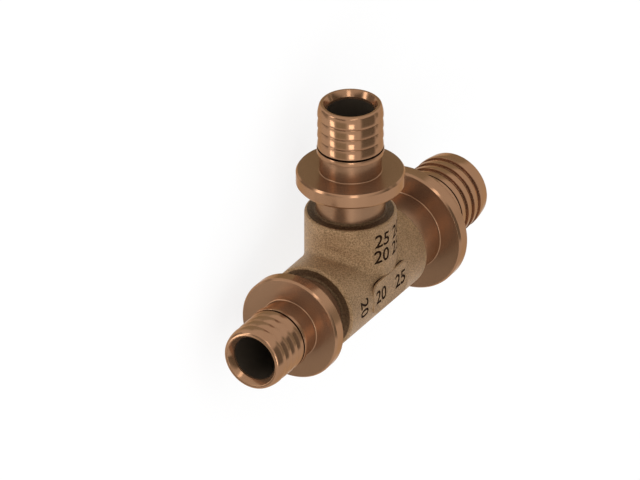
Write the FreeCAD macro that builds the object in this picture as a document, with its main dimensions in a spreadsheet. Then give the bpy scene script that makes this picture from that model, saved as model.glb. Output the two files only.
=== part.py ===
"""Reducing tee for sliding-sleeve pipe joints, sizes 25 x 20 x 20.

One gunmetal casting: a tee-shaped cast core with three turned barbed ends.
The large end points along +X, the equal small ends along -X and +Y.
The origin is where the run's axis crosses the branch's axis, and +Z is the
side that carries the marking pad. All lengths are millimetres.
"""

import FreeCAD
import Part
import math
import os
import Sketcher
from FreeCAD import Vector

# Driving dimensions: name, value, what it is.
SIZES = (
    ("run_core_dia", 21.8, "cast body of the run, outside"),
    ("branch_core_dia", 21.7, "cast body of the branch, outside"),
    ("small_core_reach", 18.1, "axes' crossing to the cast shoulder, small ends"),
    ("large_core_reach", 17.4, "axes' crossing to the cast shoulder, large end"),
    ("crotch_radius", 2.0, "blend where the branch leaves the run"),
    ("rim_dia", 20.5, "flat face of the cast shoulder"),
    ("rim_bevel", 0.5, "length of the bevel from the cast body to its shoulder"),
    ("pad_length", 15.8, "marking pad along the run"),
    ("pad_width", 8.2, "marking pad across the run"),
    ("pad_corner", 2.2, "marking pad's corner radius"),
    ("pad_rise", 0.05, "pad face above the cast body's highest line"),
    ("collar_back", 25.2, "axes' crossing to the collar's back face"),
    ("collar_width", 3.75, "thickness of each collar"),
    ("collar_edge", 0.35, "bevel on both edges of each collar"),
    ("ring_width", 1.5, "length of the stop ring"),
    ("ring_slope", 0.35, "length of the cone on the back of the stop ring"),
    ("undercut_width", 0.5, "slot between the stop ring and the last barb"),
    ("undercut_depth", 0.75, "slot's depth below the barb crests"),
    ("barb_height", 0.5, "step behind each barb"),
    ("barb_land", 0.9, "full-size length of each barb behind its ramp"),
    ("lead_ramp", 1.4, "length of the first barb's ramp"),
    ("tip_land", 0.85, "cylinder at the very end"),
    ("mouth_depth", 1.45, "depth of the cone at the bore's mouth"),
    ("small_shank_dia", 16.5, "neck behind the collar, small ends"),
    ("small_collar_dia", 25.8, "collar, small ends"),
    ("small_neck_dia", 14.7, "neck in front of the collar, small ends"),
    ("small_neck_length", 4.6, "length of that neck"),
    ("small_ring_dia", 15.95, "stop ring, small ends"),
    ("small_crest_dia", 15.75, "barb crests, small ends"),
    ("small_barb_pitch", 2.72, "barb to barb, small ends"),
    ("small_reach", 46.75, "axes' crossing to the tip, small ends"),
    ("small_tip_dia", 14.9, "tip, small ends"),
    ("small_bore_dia", 11.1, "bore, small ends"),
    ("small_mouth_dia", 12.9, "mouth of the bore, small ends"),
    ("large_shank_dia", 19.5, "neck behind the collar, large end"),
    ("large_collar_dia", 30.6, "collar, large end"),
    ("large_neck_dia", 17.3, "neck in front of the collar, large end"),
    ("large_neck_length", 5.8, "length of that neck"),
    ("large_ring_dia", 18.8, "stop ring, large end"),
    ("large_crest_dia", 18.6, "barb crests, large end"),
    ("large_barb_pitch", 2.85, "barb to barb, large end"),
    ("large_reach", 49.45, "axes' crossing to the tip, large end"),
    ("large_tip_dia", 17.7, "tip, large end"),
    ("large_bore_dia", 14.2, "bore, large end"),
    ("large_mouth_dia", 16.1, "mouth of the bore, large end"),
    ("large_bore_overrun", 1.0, "how far the large bore runs past the branch's bore"),
    ("drill_point", 3.2, "length of the cone at the end of the large bore"),
)

BARB_COUNT = 4


class Length:
    """A length with its number and the sheet formula that gives it."""

    def __init__(self, value, formula):
        self.value = value
        self.formula = formula

    def __add__(self, other):
        return Length(self.value + other.value, f"({self.formula} + {other.formula})")

    def __sub__(self, other):
        return Length(self.value - other.value, f"({self.formula} - {other.formula})")

    def times(self, factor):
        return Length(self.value * factor, f"({self.formula} * {factor})")

    def half(self):
        return self.times(0.5)

    def or_more(self, other):
        return Length(max(self.value, other.value), f"max({self.formula}; {other.formula})")


ZERO = Length(0.0, "0 mm")


def fill_sheet(doc):
    """Write the driving dimensions and return them as lengths by name."""
    sheet = doc.addObject("Spreadsheet::Sheet", "sizes")
    lengths = {}
    for row, (name, value, note) in enumerate(SIZES, start=1):
        sheet.set(f"A{row}", note)
        sheet.set(f"B{row}", str(value))
        sheet.setAlias(f"B{row}", name)
        lengths[name] = Length(value, f"sizes.{name} * 1 mm")
    doc.recompute()
    return lengths


def origin_feature(body, role):
    """The body's own plane or axis with this role."""
    for feature in body.Origin.OriginFeatures:
        if feature.Role == role:
            return feature
    raise ValueError(role)


def new_sketch(body, name):
    """A sketch in the plane that holds both axes."""
    sketch = body.newObject("Sketcher::SketchObject", name)
    sketch.AttachmentSupport = [(origin_feature(body, "XY_Plane"), "")]
    sketch.MapMode = "FlatFace"
    return sketch


def bind(sketch, kind, first, second, length):
    """Pin one coordinate of a point to a length from the sheet."""
    if abs(length.value) < 1e-9:
        axis = -1 if kind == "DistanceY" else -2
        sketch.addConstraint(Sketcher.Constraint("PointOnObject", second[0], second[1], axis))
        return
    if length.value < 0.0:
        first, second = second, first
        length = length.times(-1.0)
    number = sketch.addConstraint(
        Sketcher.Constraint(kind, first[0], first[1], second[0], second[1], length.value))
    sketch.setExpression(f"Constraints[{number}]", length.formula)


def closed_outline(sketch, corners):
    """Straight edges through the corners, each corner placed by two bound lengths."""
    count = len(corners)
    origin_point = (-1, 1)
    for index, (across, up) in enumerate(corners):
        next_across, next_up = corners[(index + 1) % count]
        start = Vector(across.value, up.value, 0)
        end = Vector(next_across.value, next_up.value, 0)
        sketch.addGeometry(Part.LineSegment(start, end), False)
    for index in range(count):
        after = (index + 1) % count
        sketch.addConstraint(Sketcher.Constraint("Coincident", index, 2, after, 1))
    for index, (across, up) in enumerate(corners):
        bind(sketch, "DistanceX", origin_point, (index, 1), across)
        bind(sketch, "DistanceY", origin_point, (index, 1), up)


def rounded_rectangle(sketch, right, top, radius):
    """A rectangle centred on the axes' crossing, with four tangent corner arcs."""
    origin_point = (-1, 1)
    centres = []
    for across in (1, -1):
        for up in (across, -across):
            centres.append(((right - radius).times(across), (top - radius).times(up)))
    quarter = math.radians(90.0)
    for index, (across, up) in enumerate(centres):
        middle = Vector(across.value, up.value, 0)
        circle = Part.Circle(middle, Vector(0, 0, 1), radius.value)
        arc = Part.ArcOfCircle(circle, -quarter * index, quarter * (1 - index))
        sketch.addGeometry(arc, False)
        bind(sketch, "DistanceX", origin_point, (index, 3), across)
        bind(sketch, "DistanceY", origin_point, (index, 3), up)
        number = sketch.addConstraint(Sketcher.Constraint("Radius", index, radius.value))
        sketch.setExpression(f"Constraints[{number}]", radius.formula)
    corners = len(centres)
    for index in range(corners):
        after = (index + 1) % corners
        start = sketch.getPoint(index, 1)
        end = sketch.getPoint(after, 2)
        line = sketch.addGeometry(Part.LineSegment(start, end), False)
        sketch.addConstraint(Sketcher.Constraint("Tangent", line, 1, index, 1))
        sketch.addConstraint(Sketcher.Constraint("Tangent", line, 2, after, 2))


def along_branch(profile):
    """Profile corners (distance along the axis, radius) turned from +X to +Y."""
    return [(radius, along) for along, radius in profile]


def spin(body, kind, name, corners, axis_role):
    """Revolve a closed outline a full turn: kind is Revolution or Groove."""
    sketch = new_sketch(body, name + "_outline")
    closed_outline(sketch, corners)
    feature = body.newObject("PartDesign::" + kind, name)
    feature.Profile = sketch
    feature.ReferenceAxis = (sketch, ["H_Axis" if axis_role == "run" else "V_Axis"])
    feature.Angle = 360
    body.Document.recompute()
    return feature


def fillet(body, name, edges, radius):
    """Round the named edges of the body so far with one bound radius."""
    if not edges:
        raise ValueError(name + " found no edge")
    base = body.Tip
    feature = body.newObject("PartDesign::Fillet", name)
    feature.Base = (base, edges)
    feature.Radius = radius.value
    feature.setExpression("Radius", radius.formula)
    body.Document.recompute()


def end_profile(size, end):
    """The outside of one turned end, from the cast shoulder to its tip."""
    collar_back = size["collar_back"]
    collar_face = collar_back + size["collar_width"]
    ring_back = collar_face + size[end + "_neck_length"]
    ring_front = ring_back + size["ring_width"]
    barbs_back = ring_front + size["undercut_width"]
    collar = size[end + "_collar_dia"].half()
    edge = size["collar_edge"]
    neck = size[end + "_neck_dia"].half()
    ring = size[end + "_ring_dia"].half()
    crest = size[end + "_crest_dia"].half()
    tip = size[end + "_tip_dia"].half()
    floor = crest - size["barb_height"]
    slot = crest - size["undercut_depth"]
    reach = size[end + "_reach"]
    shoulder = size[end + "_core_reach"]
    shank = size[end + "_shank_dia"].half()
    profile = [
        (shoulder, ZERO),
        (shoulder, shank),
        (collar_back, shank),
        (collar_back, collar - edge),
        (collar_back + edge, collar),
        (collar_face - edge, collar),
        (collar_face, collar - edge),
        (collar_face, neck),
        (ring_back, neck),
        (ring_back + size["ring_slope"], ring),
        (ring_front, ring),
        (ring_front, slot),
        (barbs_back, slot),
        (barbs_back, crest),
    ]
    for barb in range(1, BARB_COUNT):
        pitch = size[end + "_barb_pitch"]
        profile += [
            (barbs_back + pitch.times(barb - 1) + size["barb_land"], crest),
            (barbs_back + pitch.times(barb), floor),
            (barbs_back + pitch.times(barb), crest),
        ]
    tip_back = reach - size["tip_land"]
    profile += [
        (tip_back - size["lead_ramp"], crest),
        (tip_back, tip),
        (reach, tip),
        (reach, ZERO),
    ]
    return profile


def bore_profile(size, end):
    """A straight bore from the axes' crossing out through its conical mouth."""
    bore = size[end + "_bore_dia"].half()
    mouth = size[end + "_mouth_dia"].half()
    reach = size[end + "_reach"]
    return [
        (ZERO, ZERO),
        (ZERO, bore),
        (reach - size["mouth_depth"], bore),
        (reach, mouth),
        (reach, ZERO),
    ]


def large_bore_profile(size):
    """The large bore, drilled past the branch's bore and ending in the drill's cone."""
    profile = bore_profile(size, "large")
    drill_end = ZERO - size["small_bore_dia"].half() - size["large_bore_overrun"]
    cone_end = drill_end - size["drill_point"]
    return [(cone_end, ZERO), (drill_end, profile[1][1])] + profile[2:]


def cast_core(body, size):
    """Two crossing cylinders with bevelled ends, and the crotch between them blended."""
    run = size["run_core_dia"].half()
    branch = size["branch_core_dia"].half()
    rim = size["rim_dia"].half()
    bevel = size["rim_bevel"]
    small = size["small_core_reach"]
    large = size["large_core_reach"]
    front = ZERO - small
    spin(body, "Revolution", "run_core",
         [(front, ZERO), (front, rim), (front + bevel, run),
          (large - bevel, run), (large, rim), (large, ZERO)], "run")
    spin(body, "Revolution", "branch_core",
         along_branch([(ZERO, ZERO), (ZERO, branch), (small - bevel, branch),
                       (small, rim), (small, ZERO)]), "branch")
    crossing = []
    for number, edge in enumerate(body.Shape.Edges, start=1):
        if not isinstance(edge.Curve, (Part.Circle, Part.Line)):
            crossing.append(f"Edge{number}")
    fillet(body, "crotch_blend", crossing, size["crotch_radius"])


def marking_pad(body, size):
    """A low raised pad with rounded corners on the +Z side of the run."""
    sketch = new_sketch(body, "marking_pad_outline")
    rounded_rectangle(sketch, size["pad_length"].half(), size["pad_width"].half(),
                      size["pad_corner"])
    highest = size["run_core_dia"].or_more(size["branch_core_dia"]).half()
    height = highest + size["pad_rise"]
    pad = body.newObject("PartDesign::Pad", "marking_pad")
    pad.Profile = sketch
    pad.Length = height.value
    pad.setExpression("Length", height.formula)
    body.Document.recompute()


def turned_ends(body, size):
    """The three barbed ends: the second small end is the first, a quarter turn round Z."""
    small_end = spin(body, "Revolution", "small_end",
                     along_branch(end_profile(size, "small")), "branch")
    pair = body.newObject("PartDesign::PolarPattern", "small_end_pair")
    pair.Originals = [small_end]
    pair.Axis = (origin_feature(body, "Z_Axis"), [""])
    pair.Angle = 90
    pair.Occurrences = 2
    body.Tip = pair
    body.Document.recompute()
    spin(body, "Revolution", "large_end", end_profile(size, "large"), "run")


def bores(body, size):
    """Small bores from the branch and the front of the run, a large one from the back."""
    small_bore = spin(body, "Groove", "small_bore",
                      along_branch(bore_profile(size, "small")), "branch")
    pair = body.newObject("PartDesign::PolarPattern", "small_bore_pair")
    pair.Originals = [small_bore]
    pair.Axis = (origin_feature(body, "Z_Axis"), [""])
    pair.Angle = 90
    pair.Occurrences = 2
    body.Tip = pair
    body.Document.recompute()
    spin(body, "Groove", "large_bore", large_bore_profile(size), "run")


def checked(doc):
    """Stop if any object failed to build."""
    doc.recompute()
    for item in doc.Objects:
        if "Invalid" in item.State or "Error" in item.State:
            raise RuntimeError(item.Label + " is " + ", ".join(item.State))


def main():
    doc = FreeCAD.newDocument("reducing_tee")
    size = fill_sheet(doc)
    body = doc.addObject("PartDesign::Body", "tee_body")
    body.Label = "tee_body"
    cast_core(body, size)
    marking_pad(body, size)
    turned_ends(body, size)
    bores(body, size)
    checked(doc)

    shape = body.Shape
    if shape.isNull() or not shape.isValid() or len(shape.Solids) != 1:
        raise RuntimeError("tee_body is not one valid solid")
    os.makedirs("parts", exist_ok=True)
    shape.exportStep("parts/" + body.Label + ".step")
    box = shape.BoundBox
    print(f"tee_body volume {shape.Volume:.1f} mm3, faces {len(shape.Faces)}, "
          f"box {box.XMin:.2f}..{box.XMax:.2f} {box.YMin:.2f}..{box.YMax:.2f} "
          f"{box.ZMin:.2f}..{box.ZMax:.2f}")


main()
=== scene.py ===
# %% [markdown]
# # A reducing tee with barbed ends
# The real object is one gunmetal casting: a sand-cast core where two round
# arms cross, and three ends that were turned bright on a lathe. The branch and
# the near end of the run take a 20 mm pipe, and the far end takes a 25 mm one.
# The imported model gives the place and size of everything. This lesson rebuilds
# the same shape with the small roundings and the finishes that catch light.

import math

import bmesh
import bpy
from mathutils import Matrix, Vector


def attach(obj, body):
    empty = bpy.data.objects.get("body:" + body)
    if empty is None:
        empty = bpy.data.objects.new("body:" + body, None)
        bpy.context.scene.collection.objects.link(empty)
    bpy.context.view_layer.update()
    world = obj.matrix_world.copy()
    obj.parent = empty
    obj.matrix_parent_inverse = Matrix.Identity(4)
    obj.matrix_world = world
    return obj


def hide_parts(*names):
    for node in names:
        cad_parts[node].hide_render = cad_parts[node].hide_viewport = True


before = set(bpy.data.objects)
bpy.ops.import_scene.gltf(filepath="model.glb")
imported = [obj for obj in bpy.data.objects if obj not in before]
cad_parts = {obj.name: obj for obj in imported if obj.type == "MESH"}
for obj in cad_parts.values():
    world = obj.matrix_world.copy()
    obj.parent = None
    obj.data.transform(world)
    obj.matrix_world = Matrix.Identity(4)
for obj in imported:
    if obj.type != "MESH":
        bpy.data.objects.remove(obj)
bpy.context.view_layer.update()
print("the packed model has", list(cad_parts))

# %% [markdown]
# ## Lines and roundings
# Every surface here comes from a line drawn in millimetres, so two helpers
# come first. One turns a direction part of the way to another, and the other
# rounds the corners of a line, as a lathe tool's nose or a worn pattern does.
# A true corner has no width, so it would never show the thin bright line that
# the eye expects on metal.

# %% Two helpers for lines in millimetres
MM = 0.001
SEGMENTS = 144
# How far apart, in millimetres, points may be merged and places count as the same.
WELD = 0.002
FINE_WELD = 0.001
NEAR = 0.05


def swing(first, last, share):
    """first, turned towards last by a share of the angle between them."""
    angle = first.angle(last, 0.0)
    if angle < 1e-6:
        return first.copy()
    near = first * math.sin((1.0 - share) * angle)
    return (near + last * math.sin(share * angle)) / math.sin(angle)


def rounded(corners, steps=4):
    """A line through (along, radius, rounding) corners, with an arc at each rounding."""
    line = []
    for index, (along, radius, rounding) in enumerate(corners):
        corner = Vector((along, radius))
        if rounding == 0:
            line.append(corner)
            continue
        back = (Vector(corners[index - 1][:2]) - corner).normalized()
        ahead = (Vector(corners[index + 1][:2]) - corner).normalized()
        half = back.angle(ahead) / 2
        centre = corner + (back + ahead).normalized() * (rounding / math.sin(half))
        start = corner + back * (rounding / math.tan(half)) - centre
        finish = corner + ahead * (rounding / math.tan(half)) - centre
        for step in range(steps + 1):
            line.append(centre + swing(start, finish, step / steps))
    return line


print("each round surface gets", SEGMENTS, "faces round its axis")

# %% [markdown]
# ## Sizes
# These are the source's own lengths, halved to radii where that helps. A few
# differ by up to three tenths of a millimetre, because the light on the real
# object shows them so: longer chamfers on the collars, deeper grooves between
# the barbs and tips that taper. The branch's core is as wide as the run's, so
# that the cast arms meet without a step. The weld depth is where repeated ridges
# join, below their crests, and the bore's start is where the turned mouth ends
# and the drilled wall begins.

# %% The tee's sizes
CORE = 10.9
RIM = 10.25
CROTCH = 2.0
COLLAR_BACK = 25.2
COLLAR_FACE = 28.95
CHAMFER_LENGTH = 0.55
CHAMFER_DEPTH = 0.385
RING_WIDTH = 1.5
RING_SLOPE = 0.35
SLOT_WIDTH = 0.5
SLOT_DEPTH = 0.75
GROOVE_DEPTH = 0.8
WELD_DEPTH = 0.3
MOUTH_DEPTH = 1.45
BORE_START = 2.0
SMALL = {"core": 18.1, "shank": 8.25, "root": 0.6, "collar": 12.9, "neck": 7.35,
         "ring_back": 33.55, "ring": 7.975, "crest": 7.875, "pitch": 2.72,
         "reach": 46.75, "tip": 7.32, "mouth": 6.45, "bore": 5.55}
LARGE = {"core": 17.4, "shank": 9.75, "root": 0.3, "collar": 15.3, "neck": 8.65,
         "ring_back": 34.75, "ring": 9.4, "crest": 9.3, "pitch": 2.85,
         "reach": 49.45, "tip": 8.75, "mouth": 8.05, "bore": 7.1}
RIDGES = 3
print(f"small end reaches {SMALL['reach']} mm, large end {LARGE['reach']} mm")

# %% [markdown]
# ## The cast core
# The core is two equal cylinders with a blend in the crotch, like the pattern
# that was pressed into the sand. A boolean of two cylinders would leave long
# thin faces along the crossing. Here each line of the mesh runs from the rim of
# the run, along the arm, round the blend and up the branch, so the faces follow
# the form and shade smoothly. The blend is the path of a ball that rolls in the
# crotch: it has its full size between the arms and fades out on the front and
# back, where the cylinders touch.

# %% Rows of the core's mesh
ARM_STEPS = 8
BLEND_STEPS = 10
RIM_LENGTH = 1.5


def rim_line(size):
    """From the foot of the shank over the flat shoulder and its worn edge to the plain arm."""
    reach = size["core"]
    return rounded([(reach, size["shank"] + size["root"], 0), (reach, CORE, CORE - RIM),
                    (reach - RIM_LENGTH, CORE, 0)])


def between(start, finish, steps):
    """Evenly spaced points after start, up to and with finish."""
    return [start.lerp(finish, (step + 1) / steps) for step in range(steps)]


def arm_row(size, side, angle, stop):
    """Points from the rim of the run along the arm to a distance from the middle."""
    across, up = math.cos(angle), math.sin(angle)
    row = [Vector((side * along, radius * across, radius * up))
           for along, radius in rim_line(size)]
    return row + between(row[-1], Vector((side * stop, CORE * across, CORE * up)), ARM_STEPS)


def crotch_row(size, side, angle):
    """Points from the rim of the run, round the blend, to the rim of the branch."""
    across, up = max(math.cos(angle), 0.0), math.sin(angle)
    middle = CORE + CROTCH
    row = arm_row(size, side, angle, middle * across)
    centre = Vector((side * middle * across, middle * across, middle * up))
    leave = Vector((side * CORE * across, middle * across, CORE * up))
    row += [centre + swing(row[-1] - centre, leave - centre, (step + 1) / BLEND_STEPS)
            for step in range(BLEND_STEPS)]
    rim = [Vector((side * radius * across, along, radius * up))
           for along, radius in reversed(rim_line(SMALL))]
    return row + between(leave, rim[0], ARM_STEPS) + rim[1:]


def under_row(angle):
    """Points from rim to rim of the run, on the side away from the branch."""
    front = arm_row(SMALL, -1, angle, 0.0)
    back = arm_row(LARGE, 1, angle, 0.0)
    return front + back[-2::-1]


# %% The core as one closed mesh
def quads(bm, rows):
    """Faces between neighbouring rows of points."""
    grid = [[bm.verts.new(point * MM) for point in row] for row in rows]
    for row, after in zip(grid, grid[1:]):
        for index in range(len(row) - 1):
            bm.faces.new((row[index], row[index + 1], after[index + 1], after[index]))


def close_up(bm):
    """Merge the seams, cap what is open and turn the faces outward."""
    bmesh.ops.remove_doubles(bm, verts=bm.verts, dist=WELD * MM)
    open_edges = [edge for edge in bm.edges if edge.is_boundary]
    bmesh.ops.holes_fill(bm, edges=open_edges, sides=0)
    bmesh.ops.recalc_face_normals(bm, faces=bm.faces)


def mesh_object(name, bm, material=None):
    """A mesh object at the origin from a bmesh."""
    mesh = bpy.data.meshes.new(name)
    bm.to_mesh(mesh)
    bm.free()
    if material:
        mesh.materials.append(material)
    thing = bpy.data.objects.new(name, mesh)
    bpy.context.scene.collection.objects.link(thing)
    return thing


quarter = SEGMENTS // 4
turns = [math.tau * index / SEGMENTS for index in range(-quarter, 3 * quarter + 1)]
core_bm = bmesh.new()
quads(core_bm, [crotch_row(SMALL, -1, angle) for angle in turns[:2 * quarter + 1]])
quads(core_bm, [crotch_row(LARGE, 1, angle) for angle in turns[:2 * quarter + 1]])
quads(core_bm, [under_row(angle) for angle in turns[2 * quarter:]])
close_up(core_bm)
print("cast core:", len(core_bm.faces), "faces")

# %% [markdown]
# ## Finishes as node trees
# Colours are written as the hex numbers that a picture shows, and turned into
# the linear values that the renderer works with. One small helper adds a node
# and fills its sockets, which keeps each finish short enough to read.

# %% Colour and node helpers
def linear(hex_code):
    """A written sRGB colour as the linear one that the renderer uses."""
    parts = [int(hex_code[start:start + 2], 16) / 255 for start in (1, 3, 5)]
    return tuple([part / 12.92 if part <= 0.04045 else ((part + 0.055) / 1.055) ** 2.4
                  for part in parts] + [1.0])


def add_node(tree, kind, values=(), **settings):
    """A node of a kind, with its settings, its socket values and its links."""
    node = tree.nodes.new(kind)
    for name, setting in settings.items():
        setattr(node, name, setting)
    for socket, value in dict(values).items():
        if isinstance(value, bpy.types.NodeSocket):
            tree.links.new(value, node.inputs[socket])
        else:
            node.inputs[socket].default_value = value
    return node


def new_finish(name, roughness, metallic=1.0):
    """A metal material, its tree and its shader."""
    material = bpy.data.materials.new(name)
    material.use_nodes = True
    shader = material.node_tree.nodes["Principled BSDF"]
    shader.inputs["Metallic"].default_value = metallic
    shader.inputs["Roughness"].default_value = roughness
    return material, material.node_tree, shader


print("helpers ready")

# %% [markdown]
# ## Sand-cast gunmetal
# The core keeps the skin that it had when it left the sand: grains about a
# third of a millimetre across, some lighter and some darker, over slow patches
# where the metal cooled unevenly. An image of a casting could do this too, but
# noise in real sizes has no seam and no end. The fine noise also lifts a bump.
# The flat shoulders behind the collars, and the fillets at the shanks' feet,
# lie in shade, which is painted: they get the same finish in a darker tone.

# %% The cast finish
def per_mm(size):
    """The scale of a noise whose waves are about size millimetres long."""
    return 1.0 / (size * MM)


def sand_cast_gunmetal(name, dark, light):
    """Gunmetal as it leaves a sand mould: matt and speckled, with no clear mirror image."""
    material, tree, shader = new_finish(name, 0.5)
    where = add_node(tree, "ShaderNodeTexCoord").outputs["Object"]
    patches = add_node(tree, "ShaderNodeTexNoise",
                       {"Vector": where, "Scale": per_mm(5.55), "Detail": 3.0})
    # Foundry sand is nearer 0.2 mm, which is finer than a pixel here, so it is drawn coarser.
    grain = add_node(tree, "ShaderNodeTexNoise",
                     {"Vector": where, "Scale": per_mm(0.345), "Detail": 3.0,
                      "Roughness": 0.7})
    tone = add_node(tree, "ShaderNodeMixRGB", {"Fac": patches.outputs["Fac"],
                                               "Color1": linear(dark),
                                               "Color2": linear(light)})
    speck = add_node(tree, "ShaderNodeMapRange", {"Value": grain.outputs["Fac"], "From Min": 0.4,
                                                  "From Max": 0.6, "To Min": 0.68,
                                                  "To Max": 1.32})
    skin = add_node(tree, "ShaderNodeVectorMath", {0: tone.outputs["Color"],
                                                   "Scale": speck.outputs["Result"]},
                    operation="SCALE")
    tree.links.new(skin.outputs["Vector"], shader.inputs["Base Color"])
    bump = add_node(tree, "ShaderNodeBump", {"Height": grain.outputs["Fac"],
                                             "Strength": 1.0, "Distance": 0.3 * MM})
    tree.links.new(bump.outputs["Normal"], shader.inputs["Normal"])
    return material


cast_skin = sand_cast_gunmetal("sand_cast_gunmetal", "#957656", "#b59470")
shoulder_painted_shade = sand_cast_gunmetal("cast_gunmetal_painted_shade", "#604a35", "#725a42")
print("finishes:", cast_skin.name, shoulder_painted_shade.name)

# %% [markdown]
# ## Turned gunmetal
# The ends are bright where the tool has passed. Its marks run round the axis
# and are too fine to see singly, so only the blur that they give a mirror image
# is kept, as roughness. Cut gunmetal soon takes a thin brown film, which
# scatters part of the light, so the finish is a little less than fully
# metallic. The collars' flat faces, the necks and the shanks were cut with a
# coarser feed than the barbs, and are duller and a little darker.

# %% The turned, drilled and engraved finishes
def turned_gunmetal(name, roughness, dark, light):
    """Gunmetal off the lathe: warm and bright, with slightly blurred mirror images."""
    material, tree, shader = new_finish(name, roughness, 0.75)
    where = add_node(tree, "ShaderNodeTexCoord").outputs["Object"]
    haze = add_node(tree, "ShaderNodeTexNoise",
                    {"Vector": where, "Scale": per_mm(11.0), "Detail": 2.0})
    tone = add_node(tree, "ShaderNodeMixRGB", {"Fac": haze.outputs["Fac"],
                                               "Color1": linear(dark),
                                               "Color2": linear(light)})
    tree.links.new(tone.outputs["Color"], shader.inputs["Base Color"])
    shader.inputs["Specular Tint"].default_value = linear("#d8b898")
    return material


def drilled_gunmetal_painted_shade():
    """The bores: torn by the drill, and dark as painted shade inside the holes."""
    material, tree, shader = new_finish("drilled_gunmetal_painted_shade", 0.4, 0.6)
    where = add_node(tree, "ShaderNodeTexCoord").outputs["Object"]
    haze = add_node(tree, "ShaderNodeTexNoise",
                    {"Vector": where, "Scale": per_mm(8.5), "Detail": 3.0})
    tone = add_node(tree, "ShaderNodeMixRGB", {"Fac": haze.outputs["Fac"],
                                               "Color1": linear("#4c4238"),
                                               "Color2": linear("#5c5245")})
    tree.links.new(tone.outputs["Color"], shader.inputs["Base Color"])
    return material


def engraved_fill_and_painted_shade():
    """Dark brown in the cut numbers, and painted shade in the slots and at the pad's foot."""
    material, tree, shader = new_finish("engraved_fill_and_painted_shade", 0.7)
    where = add_node(tree, "ShaderNodeTexCoord").outputs["Object"]
    mottle = add_node(tree, "ShaderNodeTexNoise",
                    {"Vector": where, "Scale": per_mm(0.65), "Detail": 3.0})
    tone = add_node(tree, "ShaderNodeMixRGB", {"Fac": mottle.outputs["Fac"],
                                               "Color1": linear("#2a1a10"),
                                               "Color2": linear("#4a3222")})
    tree.links.new(tone.outputs["Color"], shader.inputs["Base Color"])
    return material


turned_skin = turned_gunmetal("turned_gunmetal", 0.15, "#926c50", "#a07a5d")
faced_skin = turned_gunmetal("faced_gunmetal", 0.26, "#8a684e", "#97755b")
bore_shade_skin = drilled_gunmetal_painted_shade()
engraving_and_shade_skin = engraved_fill_and_painted_shade()
print("finishes:", turned_skin.name, faced_skin.name, bore_shade_skin.name, engraving_and_shade_skin.name)

# %% [markdown]
# ## The marking pad
# A low flat pad sits on the front of the core. Its top is only just above the
# highest line of the casting, so its edge fades out in the middle and stands
# proud at the corners. It is a rounded rectangle with a soft upper edge, and a
# boolean joins it to the core. Its foot takes the dark finish as painted shade,
# which draws the pad's outline.

# %% The pad and the join
PAD = {"half_length": 7.9, "half_width": 4.1, "corner": 2.2, "top": 10.95, "edge": 0.15,
       "sunk_to": 8.0, "painted_shade_band": 0.45}


def pad_ring(inset, height):
    """One level of the pad: a rounded rectangle, smaller by an inset."""
    corner = PAD["corner"] - inset
    ring = []
    for index in range(32):
        turn = math.tau * (index // 8 + (index % 8) / 7) / 4
        right = 1 if index // 8 in (0, 3) else -1
        up = 1 if index // 8 in (0, 1) else -1
        ring.append(Vector((right * (PAD["half_length"] - PAD["corner"]) + corner * math.cos(turn),
                            up * (PAD["half_width"] - PAD["corner"]) + corner * math.sin(turn),
                            height)))
    return ring + ring[:1]


def joined(base, tool, operation):
    """base after a boolean with tool, as a plain mesh, and the tool removed."""
    cut = base.modifiers.new("cut", "BOOLEAN")
    cut.operation = operation
    cut.object = tool
    cut.solver = "EXACT"
    cut.material_mode = "TRANSFER"
    graph = bpy.context.evaluated_depsgraph_get()
    result = bpy.data.meshes.new_from_object(base.evaluated_get(graph))
    base.modifiers.remove(cut)
    base.data = result
    bpy.data.objects.remove(tool)
    return base


core = mesh_object("cast_core", core_bm, cast_skin)
pad_bm = bmesh.new()
edge = PAD["edge"]
levels = [(0.0, PAD["sunk_to"]), (0.0, PAD["top"] - PAD["painted_shade_band"])]
for step in range(5):
    turn = step * math.pi / 8
    levels.append((edge * (1 - math.cos(turn)), PAD["top"] - edge * (1 - math.sin(turn))))
quads(pad_bm, [pad_ring(inset, height) for inset, height in levels])
close_up(pad_bm)
# The pad's lowest band takes the dark finish: painted shade at its foot.
for face in pad_bm.faces:
    if max(vert.co.z for vert in face.verts) < (PAD["top"] - PAD["painted_shade_band"] + NEAR) * MM:
        face.material_index = 1
pad = mesh_object("pad", pad_bm, cast_skin)
pad.data.materials.append(engraving_and_shade_skin)
core = joined(core, pad, "UNION")
print("core with its pad:", len(core.data.polygons), "faces")

# %% [markdown]
# ## Plain numbers
# Pipe sizes are cut into the core: two rows on the branch, one on the pad, and
# one number beside the pad that reads along the branch. They are text made a
# little bolder and turned to solid figures, laid on the round surface by
# lowering each point by as much as the cylinder falls away, and cut a quarter
# of a millimetre deep. A picture of numbers would be flat and catch no light.

# %% Cut the numbers
SIZE_PER_HEIGHT = 1.4
BOLD = 0.07
CUT_DEPTH = 0.25
ABOVE = 2.0


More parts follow.
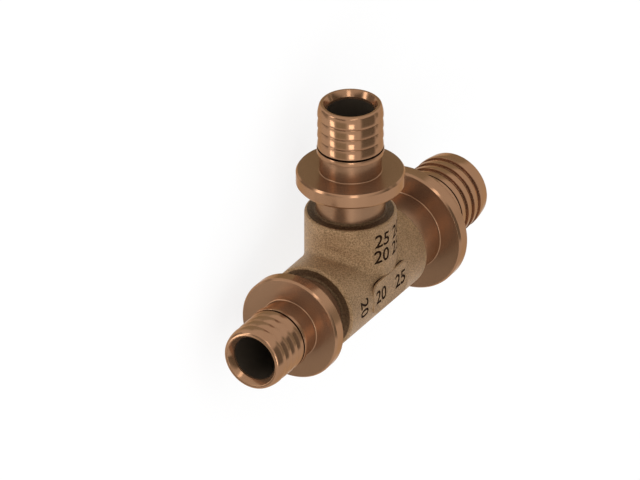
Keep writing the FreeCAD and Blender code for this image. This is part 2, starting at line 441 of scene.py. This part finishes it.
def number_cutter(text, height, middle, bend, turn):
    """Solid figures through the surface, centred on a point of the front side."""
    words = bpy.data.curves.new("figures", "FONT")
    words.body = text
    words.size = height * SIZE_PER_HEIGHT * MM
    words.align_x = "CENTER"
    words.align_y = "CENTER"
    words.extrude = 1.0 * MM
    words.offset = BOLD * MM
    words.resolution_u = 4
    holder = bpy.data.objects.new("figures", words)
    bpy.context.scene.collection.objects.link(holder)
    graph = bpy.context.evaluated_depsgraph_get()
    mesh = bpy.data.meshes.new_from_object(holder.evaluated_get(graph))
    bpy.data.objects.remove(holder)
    bm = bmesh.new()
    bm.from_mesh(mesh)
    bmesh.ops.remove_doubles(bm, verts=bm.verts, dist=FINE_WELD * MM)
    bmesh.ops.rotate(bm, verts=bm.verts, matrix=Matrix.Rotation(math.radians(turn), 3, "Z"))
    for vert in bm.verts:
        across, up = vert.co.x + middle[0] * MM, vert.co.y + middle[1] * MM
        fallen = (across if bend == "branch" else up) ** 2
        surface = math.sqrt((CORE * MM) ** 2 - fallen) if bend else PAD["top"] * MM
        bottom = surface - CUT_DEPTH * MM
        vert.co = (across, up, bottom if vert.co.z < 0 else bottom + ABOVE * MM)
    bmesh.ops.recalc_face_normals(bm, faces=bm.faces)
    for face in bm.faces:
        face.material_index = 0
    return mesh_object("figures", bm, engraving_and_shade_skin)


# Text, height, middle, the arm whose surface it follows, and its turn in degrees.
FIGURES = (("25 20", 3.4, (0.2, 14.0), "branch", 0.0),
           ("20 25", 3.4, (0.0, 9.8), "branch", 0.0),
           ("20   25", 3.5, (0.0, 0.0), None, 0.0),
           ("20", 3.4, (-12.2, 0.2), "run", -90.0))
for figures in FIGURES:
    core = joined(core, number_cutter(*figures), "DIFFERENCE")
print("core with its numbers:", len(core.data.polygons), "faces")

# %% [markdown]
# ## The turned ends
# A lathe makes a solid of revolution, and so does this tree of Geometry Nodes.
# The object is only half a section: a line from the cast rim, over the collar
# with its two chamfers, the neck, the stop ring and a narrow slot, along the
# barbs, round the tip and into the mouth. A barb is steep towards the collar,
# where it holds the pipe, and falls in a slight crown towards the tip. One
# ridge of the barbs is marked with an attribute. The tree repeats that ridge
# along the axis at its pitch, welds the line together and sweeps it round a
# circle. A circle of any size would do, because the line is first moved inward
# by the circle's radius.

# %% The section of one end
def end_section(size):
    """The line of one turned end, split into what stays and what repeats."""
    reach, crest, pitch = size["reach"], size["crest"], size["pitch"]
    foot, middle, slot = crest - GROOVE_DEPTH, crest - WELD_DEPTH, crest - SLOT_DEPTH
    ring_front = size["ring_back"] + RING_WIDTH
    first = ring_front + SLOT_WIDTH
    last = first + RIDGES * pitch
    chamfered = size["collar"] - CHAMFER_DEPTH
    back = rounded([
        (size["core"], size["shank"] + size["root"], 0),
        (size["core"], size["shank"], size["root"] * 0.999),
        (COLLAR_BACK, size["shank"], 0.3),
        (COLLAR_BACK, chamfered, 0.06),
        (COLLAR_BACK + CHAMFER_LENGTH, size["collar"], 0.06),
        (COLLAR_FACE - CHAMFER_LENGTH, size["collar"], 0.06),
        (COLLAR_FACE, chamfered, 0.06),
        (COLLAR_FACE, size["neck"], 0.3),
        (size["ring_back"], size["neck"], 0.1),
        (size["ring_back"] + RING_SLOPE, size["ring"], 0.12),
        (ring_front, size["ring"], 0.1),
        (ring_front, slot, 0.05),
        (first, slot, 0.05),
        (first, middle, 0)], 6)
    ridge = rounded([
        (first, middle, 0),
        (first, crest, 0.07),
        (first + 0.45 * pitch, crest - 0.085, 6.0),
        (first + 0.86 * pitch, crest - 0.385, 0.6),
        (first + pitch, foot, 0.07),
        (first + pitch, middle, 0)], 6)
    front = rounded([
        (last, middle, 0),
        (last, crest, 0.07),
        (last + 0.45 * pitch, crest - 0.085, 6.0),
        (reach, size["tip"], 0.8),
        (reach, size["mouth"], 0.1),
        (reach - MOUTH_DEPTH, size["bore"], 0.3),
        (reach - BORE_START, size["bore"], 0)])
    return back, ridge, front


def section_object(name, size):
    """The section as an object of edges, with its ridge marked."""
    points, edges, marks = [], [], []
    for part, repeats in zip(end_section(size), (False, True, False)):
        start = len(points)
        points += [(radius * MM, along * MM, 0.0) for along, radius in part]
        edges += [(index, index + 1) for index in range(start, len(points) - 1)]
        marks += [repeats] * (len(points) - 1 - start)
    mesh = bpy.data.meshes.new(name)
    mesh.from_pydata(points, edges, [])
    mesh.attributes.new("ridge", "BOOLEAN", "EDGE").data.foreach_set("value", marks)
    thing = bpy.data.objects.new(name, mesh)
    bpy.context.scene.collection.objects.link(thing)
    print(name, "has", len(points), "points in its section")
    return thing


# %% The lathe as Geometry Nodes
SWEEP = 10.0


def lathe_tree():
    """Repeat the marked ridge, weld the line and sweep it round the axis."""
    tree = bpy.data.node_groups.new("lathe", "GeometryNodeTree")
    tree.is_modifier = True
    for name, kind in (("Section", "NodeSocketGeometry"), ("Ridges", "NodeSocketInt"),
                       ("Pitch", "NodeSocketFloat"), ("Segments", "NodeSocketInt"),
                       ("Finish", "NodeSocketMaterial")):
        tree.interface.new_socket(name, in_out="INPUT", socket_type=kind)
    tree.interface.new_socket("Turned", in_out="OUTPUT", socket_type="NodeSocketGeometry")
    given = add_node(tree, "NodeGroupInput").outputs
    mark = add_node(tree, "GeometryNodeInputNamedAttribute", {"Name": "ridge"},
                    data_type="BOOLEAN").outputs["Attribute"]
    split = add_node(tree, "GeometryNodeSeparateGeometry",
                     {"Geometry": given["Section"], "Selection": mark}, domain="EDGE").outputs
    step = add_node(tree, "ShaderNodeCombineXYZ", {"Y": given["Pitch"]}).outputs["Vector"]
    places = add_node(tree, "GeometryNodeMeshLine",
                      {"Count": given["Ridges"], "Offset": step}, mode="OFFSET").outputs["Mesh"]
    ridges = add_node(tree, "GeometryNodeInstanceOnPoints",
                      {"Points": places, "Instance": split["Selection"]}).outputs["Instances"]
    real = add_node(tree, "GeometryNodeRealizeInstances",
                    {"Geometry": ridges}).outputs["Geometry"]
    whole = add_node(tree, "GeometryNodeJoinGeometry", {"Geometry": split["Inverted"]})
    tree.links.new(real, whole.inputs["Geometry"])
    welded = add_node(tree, "GeometryNodeMergeByDistance",
                      {"Geometry": whole.outputs["Geometry"], "Distance": FINE_WELD * MM})
    shifted = add_node(tree, "GeometryNodeTransform",
                       {"Geometry": welded.outputs["Geometry"],
                        "Translation": (-SWEEP * MM, 0.0, 0.0)}).outputs["Geometry"]
    line = add_node(tree, "GeometryNodeMeshToCurve", {"Mesh": shifted}).outputs["Curve"]
    circle = add_node(tree, "GeometryNodeCurvePrimitiveCircle",
                      {"Resolution": given["Segments"], "Radius": SWEEP * MM}).outputs["Curve"]
    swept = add_node(tree, "GeometryNodeCurveToMesh",
                     {"Curve": circle, "Profile Curve": line}).outputs["Mesh"]
    solid = add_node(tree, "GeometryNodeRealizeInstances", {"Geometry": swept})
    coated = add_node(tree, "GeometryNodeSetMaterial",
                      {"Geometry": solid.outputs["Geometry"], "Material": given["Finish"]})
    add_node(tree, "NodeGroupOutput", {"Turned": coated.outputs["Geometry"]})
    return tree


lathe = lathe_tree()
print("the lathe tree has", len(lathe.nodes), "nodes")

# %% [markdown]
# ## Turning the three ends
# The tree's inputs are set by their identifiers before the object is first
# evaluated. The result becomes a plain mesh, and the modifier goes. The slot,
# the fillet at the shank's foot and the duller surfaces round the collar are
# found by their place along the axis and numbered, so that each can take its
# own finish. The sweep leaves the axis pointing down, so each end is then
# turned to its own arm.

# %% Turn the ends
RIM_BAND = 0.3


def turned_end(name, size, direction):
    """One end as a plain mesh, pointing along a direction."""
    section = section_object(name, size)
    modifier = section.modifiers.new("lathe", "NODES")
    modifier.node_group = lathe
    values = {"Ridges": RIDGES, "Pitch": size["pitch"] * MM, "Segments": SEGMENTS,
              "Finish": turned_skin}
    for socket in lathe.interface.items_tree:
        if socket.name in values:
            modifier[socket.identifier] = values[socket.name]
    graph = bpy.context.evaluated_depsgraph_get()
    mesh = bpy.data.meshes.new_from_object(section.evaluated_get(graph))
    section.modifiers.remove(modifier)
    bpy.data.objects.remove(section)
    slot = size["ring_back"] + RING_WIDTH
    for face in mesh.polygons:
        along, radius = -face.center.z / MM, face.center.xy.length / MM
        # The slot takes the dark finish and the fillet at the shank's foot the darker cast one,
        # both as painted shade.
        if slot < along < slot + SLOT_WIDTH and radius < size["crest"] - NEAR:
            face.material_index = 1
        elif along < size["core"] + size["root"] and radius > size["shank"] + FINE_WELD:
            face.material_index = 2
        elif size["core"] < along < size["ring_back"] and radius < size["collar"] - RIM_BAND:
            face.material_index = 3
    mesh.transform(Vector((0, 0, -1)).rotation_difference(direction).to_matrix().to_4x4())
    print(name, "turned:", len(mesh.polygons), "faces")
    return mesh


ends = [turned_end("branch_end", SMALL, Vector((0, 1, 0))),
        turned_end("front_end", SMALL, Vector((-1, 0, 0))),
        turned_end("back_end", LARGE, Vector((1, 0, 0)))]

# %% [markdown]
# ## The bores
# Three drills meet in the middle. The large one comes from the back and runs
# past the branch, so its pointed end is left in the front arm. The drills'
# shapes are joined by a boolean, opened where they meet the turned mouths, and
# turned inside out, because the walls of a hole face its axis.

# %% Drill the bores
OVERRUN = 1.0
DRILL_POINT = 3.2


def drill(start, size, direction):
    """A closed drill shape from a list of (along, radius) points to the mouth."""
    line = [Vector(point) for point in start] + [Vector((size["reach"] - BORE_START, size["bore"]))]
    aim = Vector((0, 0, 1)).rotation_difference(direction)
    bm = bmesh.new()
    quads(bm, [[aim @ Vector((radius * math.cos(turn), radius * math.sin(turn), along))
                for along, radius in line] for turn in turns])
    close_up(bm)
    return mesh_object("drill", bm, bore_shade_skin)


beyond = SMALL["bore"] + OVERRUN
bores = drill([(-beyond - DRILL_POINT, 0.0), (-beyond, LARGE["bore"])], LARGE,
              Vector((1, 0, 0)))
for direction in (Vector((0, 1, 0)), Vector((-1, 0, 0))):
    bores = joined(bores, drill([(0.0, SMALL["bore"])], SMALL, direction), "UNION")
print("bores:", len(bores.data.polygons), "faces")

# %% [markdown]
# ## One casting
# The core, the ends and the bores share their rings of points. Once the caps
# between them are taken out, the points are merged and the result is one
# closed skin, inside and out, with each finish on its own faces. The shoulders
# lie in the planes of those caps, so they are found and marked in that step.
# The skin's volume tells which way its faces point: turned inside out, a solid
# has less than nothing in it.

# %% Join everything into one skin
def without_caps(mesh, planes, number):
    """A bmesh of mesh without the caps in the planes, whose other faces get a material number."""
    bm = bmesh.new()
    bm.from_mesh(mesh)
    flat = [face for face in bm.faces
            if any(all(abs(vert.co[axis] - place * MM) < WELD * MM for vert in face.verts)
                   for axis, place in planes)]
    for face in flat:
        face.material_index = number
    caps = [face for face in flat if len(face.verts) > SEGMENTS // 2]
    bmesh.ops.delete(bm, geom=caps, context="FACES")
    return bm


def gather(whole, mesh, finishes):
    """Add a mesh to the whole, with its material numbers looked up in finishes."""
    already = len(whole.faces)
    whole.from_mesh(mesh)
    whole.faces.ensure_lookup_table()
    for face in whole.faces[already:]:
        face.material_index = finishes[face.material_index]


FINISHES = [cast_skin, turned_skin, bore_shade_skin, engraving_and_shade_skin, faced_skin, shoulder_painted_shade]
TURNED, BORE_SHADE, ENGRAVING_AND_SHADE, FACED, SHOULDER_PAINTED_SHADE = range(1, len(FINISHES))
opened_core = bpy.data.meshes.new("opened_core")
# The last number marks the shoulders in the caps' planes, which take the darker cast finish as
# painted shade.
skins = [FINISHES.index(skin) for skin in core.data.materials] + [SHOULDER_PAINTED_SHADE]
core_cut = without_caps(core.data, [(0, -SMALL["core"]), (0, LARGE["core"]),
                                    (1, SMALL["core"])], len(skins) - 1)
core_cut.to_mesh(opened_core)
opened_bores = bpy.data.meshes.new("opened_bores")
bore_cut = without_caps(bores.data, [(0, BORE_START - SMALL["reach"]),
                                     (0, LARGE["reach"] - BORE_START),
                                     (1, SMALL["reach"] - BORE_START)], 0)
bmesh.ops.reverse_faces(bore_cut, faces=bore_cut.faces)
bore_cut.to_mesh(opened_bores)

whole = bmesh.new()
gather(whole, opened_core, skins)
for end in ends:
    gather(whole, end, [TURNED, ENGRAVING_AND_SHADE, SHOULDER_PAINTED_SHADE, FACED])
gather(whole, opened_bores, [BORE_SHADE] * len(bores.data.materials))
bmesh.ops.remove_doubles(whole, verts=whole.verts, dist=WELD * MM)
bmesh.ops.recalc_face_normals(whole, faces=whole.faces)
if whole.calc_volume(signed=True) < 0:
    bmesh.ops.reverse_faces(whole, faces=whole.faces)
open_edges = sum(1 for edge in whole.edges if not edge.is_manifold)
print("one skin:", len(whole.faces), "faces,", open_edges, "open edges,",
      round(whole.calc_volume(signed=True) * 1e9, 1), "cubic millimetres")
for spare in (core, bores):
    bpy.data.objects.remove(spare)
tee = mesh_object("reducing_tee", whole)
for skin in FINISHES:
    tee.data.materials.append(skin)

# %% [markdown]
# ## Smooth where it is round, sharp where it is cut
# Faces that meet at less than the sharp angle shade as one surface. Weighted
# normals let the large faces decide, so a flat collar stays flat right up to
# its rounded edge.

# %% Shade the tee
SHARP = 35
tee.data.shade_smooth()
tee.data.set_sharp_from_angle(angle=math.radians(SHARP))
weighted = tee.modifiers.new("weighted", "WEIGHTED_NORMAL")
weighted.keep_sharp = True
weighted.weight = 100
graph = bpy.context.evaluated_depsgraph_get()
shaded = bpy.data.meshes.new_from_object(tee.evaluated_get(graph))
tee.modifiers.remove(weighted)
tee.data = shaded
tee.data.name = "reducing_tee"
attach(tee, "root")
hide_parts("tee_body")
print("triangles:", sum(len(face.vertices) - 2 for face in tee.data.polygons))

# %% [markdown]
# ## Floor and tent
# The tee lies on a plain white table inside a white tent, which is the world.
# More light would turn the table white but would wash out the metal, so the
# table glows a little for the camera instead and keeps the tee's soft shadow.
# The table lets lamps and mirror images through, as a light table does.

# %% The floor and the world
TABLE_HALF = 3000.0
GLOW_SHARE = 0.8


def plain_floor(height):
    """A white table at a height in metres, which glows a little for the camera."""
    bm = bmesh.new()
    bmesh.ops.create_grid(bm, x_segments=1, y_segments=1, size=TABLE_HALF * MM)
    bmesh.ops.translate(bm, verts=bm.verts, vec=(0.0, 0.0, height))
    material = bpy.data.materials.new("white_table")
    material.use_nodes = True
    tree = material.node_tree
    shader = tree.nodes["Principled BSDF"]
    shader.inputs["Base Color"].default_value = linear("#ffffff")
    shader.inputs["Roughness"].default_value = 0.9
    glow = add_node(tree, "ShaderNodeEmission", {"Color": linear("#ffffff"), "Strength": 1.0})
    rays = add_node(tree, "ShaderNodeLightPath").outputs
    seen = rays["Is Camera Ray"]
    for kind in ("Is Glossy Ray", "Is Transmission Ray"):
        seen = add_node(tree, "ShaderNodeMath", {0: seen, 1: rays[kind]},
                        operation="MAXIMUM").outputs["Value"]
    share = add_node(tree, "ShaderNodeMath", {0: seen, 1: GLOW_SHARE}, operation="MULTIPLY")
    blend = add_node(tree, "ShaderNodeMixShader", {"Fac": share.outputs["Value"]})
    tree.links.new(shader.outputs["BSDF"], blend.inputs[1])
    tree.links.new(glow.outputs["Emission"], blend.inputs[2])
    tree.links.new(blend.outputs["Shader"], tree.nodes["Material Output"].inputs["Surface"])
    thing = mesh_object("white_table", bm, material)
    thing.visible_glossy = False
    thing.visible_shadow = False


def light_tent():
    """A world that is plain white on every side."""
    world = bpy.data.worlds.new("light_tent")
    world.use_nodes = True
    tree = world.node_tree
    background = tree.nodes["Background"]
    background.inputs["Color"].default_value = (1.0, 1.0, 1.0, 1.0)
    background.inputs["Strength"].default_value = 1.0
    bpy.context.scene.world = world


plain_floor(-LARGE["collar"] * MM)
light_tent()
print("the table is", LARGE["collar"], "mm below the run's axis")

# %% [markdown]
# ## Windows of light
# Bright metal shows its lamps as lines and patches, so their places are read
# from where those lie on the turned ends. A round bar that stands upright
# mirrors one height for each slope of its surface, and one bearing for each
# side, which is why the lamps are set by bearing and height round the branch.
# The two low windows are the bright columns on the branch's barbs. The three
# high ones shine in the cones at the mouths of the bores.

# %% The lamps
LAMP_DISTANCE = 300.0
LAMP_CENTRE = 40.0


def tall_lamp(name, bearing, bottom, top, width, radiance):
    """A rectangle of light that stands along the branch, at a bearing round it."""
    side = math.radians(bearing)
    out = Vector((-math.cos(side), 0.0, math.sin(side)))
    low = LAMP_CENTRE + LAMP_DISTANCE * math.tan(math.radians(bottom))
    high = LAMP_CENTRE + LAMP_DISTANCE * math.tan(math.radians(top))
    data = bpy.data.lights.new(name, "AREA")
    data.shape = "RECTANGLE"
    data.size = 2.0 * LAMP_DISTANCE * math.tan(math.radians(width / 2)) * MM
    data.size_y = (high - low) * MM
    data.energy = radiance * math.pi * data.size * data.size_y
    lamp = bpy.data.objects.new(name, data)
    bpy.context.scene.collection.objects.link(lamp)
    across = Vector((0.0, 1.0, 0.0)).cross(out)
    turn = Matrix((across, Vector((0.0, 1.0, 0.0)), out)).transposed().to_4x4()
    place = (out * LAMP_DISTANCE + Vector((0.0, (low + high) / 2, 0.0))) * MM
    lamp.matrix_world = Matrix.Translation(place) @ turn
    lamp.visible_camera = False


tall_lamp("right_low_window", 33.0, -25.0, -5.0, 16.0, 4.2)
tall_lamp("left_low_window", -33.5, -25.0, -5.0, 15.0, 4.2)
tall_lamp("right_high_window", 38.0, 28.0, 41.0, 16.0, 2.8)
tall_lamp("left_high_window", -39.5, 12.0, 35.0, 14.0, 3.2)
tall_lamp("top_window", 53.0, 46.0, 59.0, 22.0, 2.4)
print("lamps:", len(bpy.data.lights))

# %% [markdown]
# ## Grey cards
# A tent that is white all round makes metal look flat. Grey cards stand outside
# the picture, as a photographer's flags do, and only mirror rays meet them. They
# are not lit: each glows at its own grey level. They draw the dark bands that
# give the turned ends their roundness: most of them darken the barbs, the one
# behind darkens what faces up, and the one below darkens the collars' faces.
# Each fades to white at its rim, so that its image has no hard edge.

# %% The grey cards
CARD_DISTANCE = 500.0
CARD_STEPS = 16
CARD_RIM = 2


def grey_card(name, bearings, heights, shade):
    """A curved card between two bearings and two heights in degrees, white at its rim."""
    steps = CARD_STEPS
    rows, fades = [], []
    for row in range(steps + 1):
        rise = math.radians(heights[0] + (heights[1] - heights[0]) * row / steps)
        line = []
        for place in range(steps + 1):
            turn = math.radians(bearings[0] + (bearings[1] - bearings[0]) * place / steps)
            line.append(Vector((-math.cos(rise) * math.cos(turn), math.sin(rise),
                                math.cos(rise) * math.sin(turn))) * CARD_DISTANCE)
            fades.append(min(row, steps - row, place, steps - place, CARD_RIM) / CARD_RIM)
        rows.append(line)
    bm = bmesh.new()
    quads(bm, rows)
    material = bpy.data.materials.new(name)
    material.use_nodes = True
    tree = material.node_tree
    fade = add_node(tree, "ShaderNodeAttribute", attribute_name="fade").outputs["Fac"]
    tone = add_node(tree, "ShaderNodeMixRGB", {"Fac": fade, "Color1": linear("#ffffff"),
                                               "Color2": linear(shade)}).outputs["Color"]
    glow = add_node(tree, "ShaderNodeEmission", {"Color": tone, "Strength": 1.0})
    tree.links.new(glow.outputs["Emission"], tree.nodes["Material Output"].inputs["Surface"])
    material.cycles.emission_sampling = "NONE"
    card = mesh_object(name, bm, material)
    card.data.attributes.new("fade", "FLOAT", "POINT").data.foreach_set("value", fades)
    card.visible_camera = False
    card.visible_diffuse = False
    card.visible_transmission = False
    card.visible_shadow = False


grey_card("card_between", (-24.0, 19.0), (-24.0, 6.0), "#9c9e8a")
grey_card("card_above", (-28.0, 15.0), (10.0, 40.0), "#504e47")
grey_card("card_right", (62.0, 124.0), (-25.0, 37.0), "#404332")
grey_card("card_far_right", (121.0, 139.0), (-10.0, 38.0), "#8c8e7e")
grey_card("card_left", (-92.0, -50.0), (-5.0, 34.0), "#84837c")
grey_card("card_behind", (-184.0, -116.0), (4.0, 56.0), "#b4b6a6")
grey_card("card_under", (-54.0, -6.0), (-50.0, -26.0), "#908d85")

# %% [markdown]
# ## The camera
# The far end looks as large as its size says, so the view is as good as
# parallel. Its three directions and its width place the ends of the three arms
# where the picture has them.

# %% The camera
VIEW_WIDTH = 150.5
CAMERA_AWAY = 500.0


def photo_camera():
    """A parallel view of the marked side, with the branch upright and the small end near."""
    right = Vector((0.4995, 0.0, 0.8663))
    up = Vector((0.4291, 0.8687, -0.2474))
    forward = Vector((0.7526, -0.4953, -0.4339))
    looked_at = Vector((0.04, 7.32, -8.29)) * MM
    data = bpy.data.cameras.new("photo_camera")
    data.type = "ORTHO"
    data.ortho_scale = VIEW_WIDTH * MM
    data.clip_start = 0.01
    data.clip_end = 10.0
    camera = bpy.data.objects.new("photo_camera", data)
    bpy.context.scene.collection.objects.link(camera)
    turn = Matrix((right, up, -forward)).transposed().to_4x4()
    camera.matrix_world = Matrix.Translation(looked_at - forward * CAMERA_AWAY * MM) @ turn
    bpy.context.scene.camera = camera


photo_camera()
bpy.context.scene.view_settings.view_transform = "Standard"
print("the view is", VIEW_WIDTH, "mm wide")
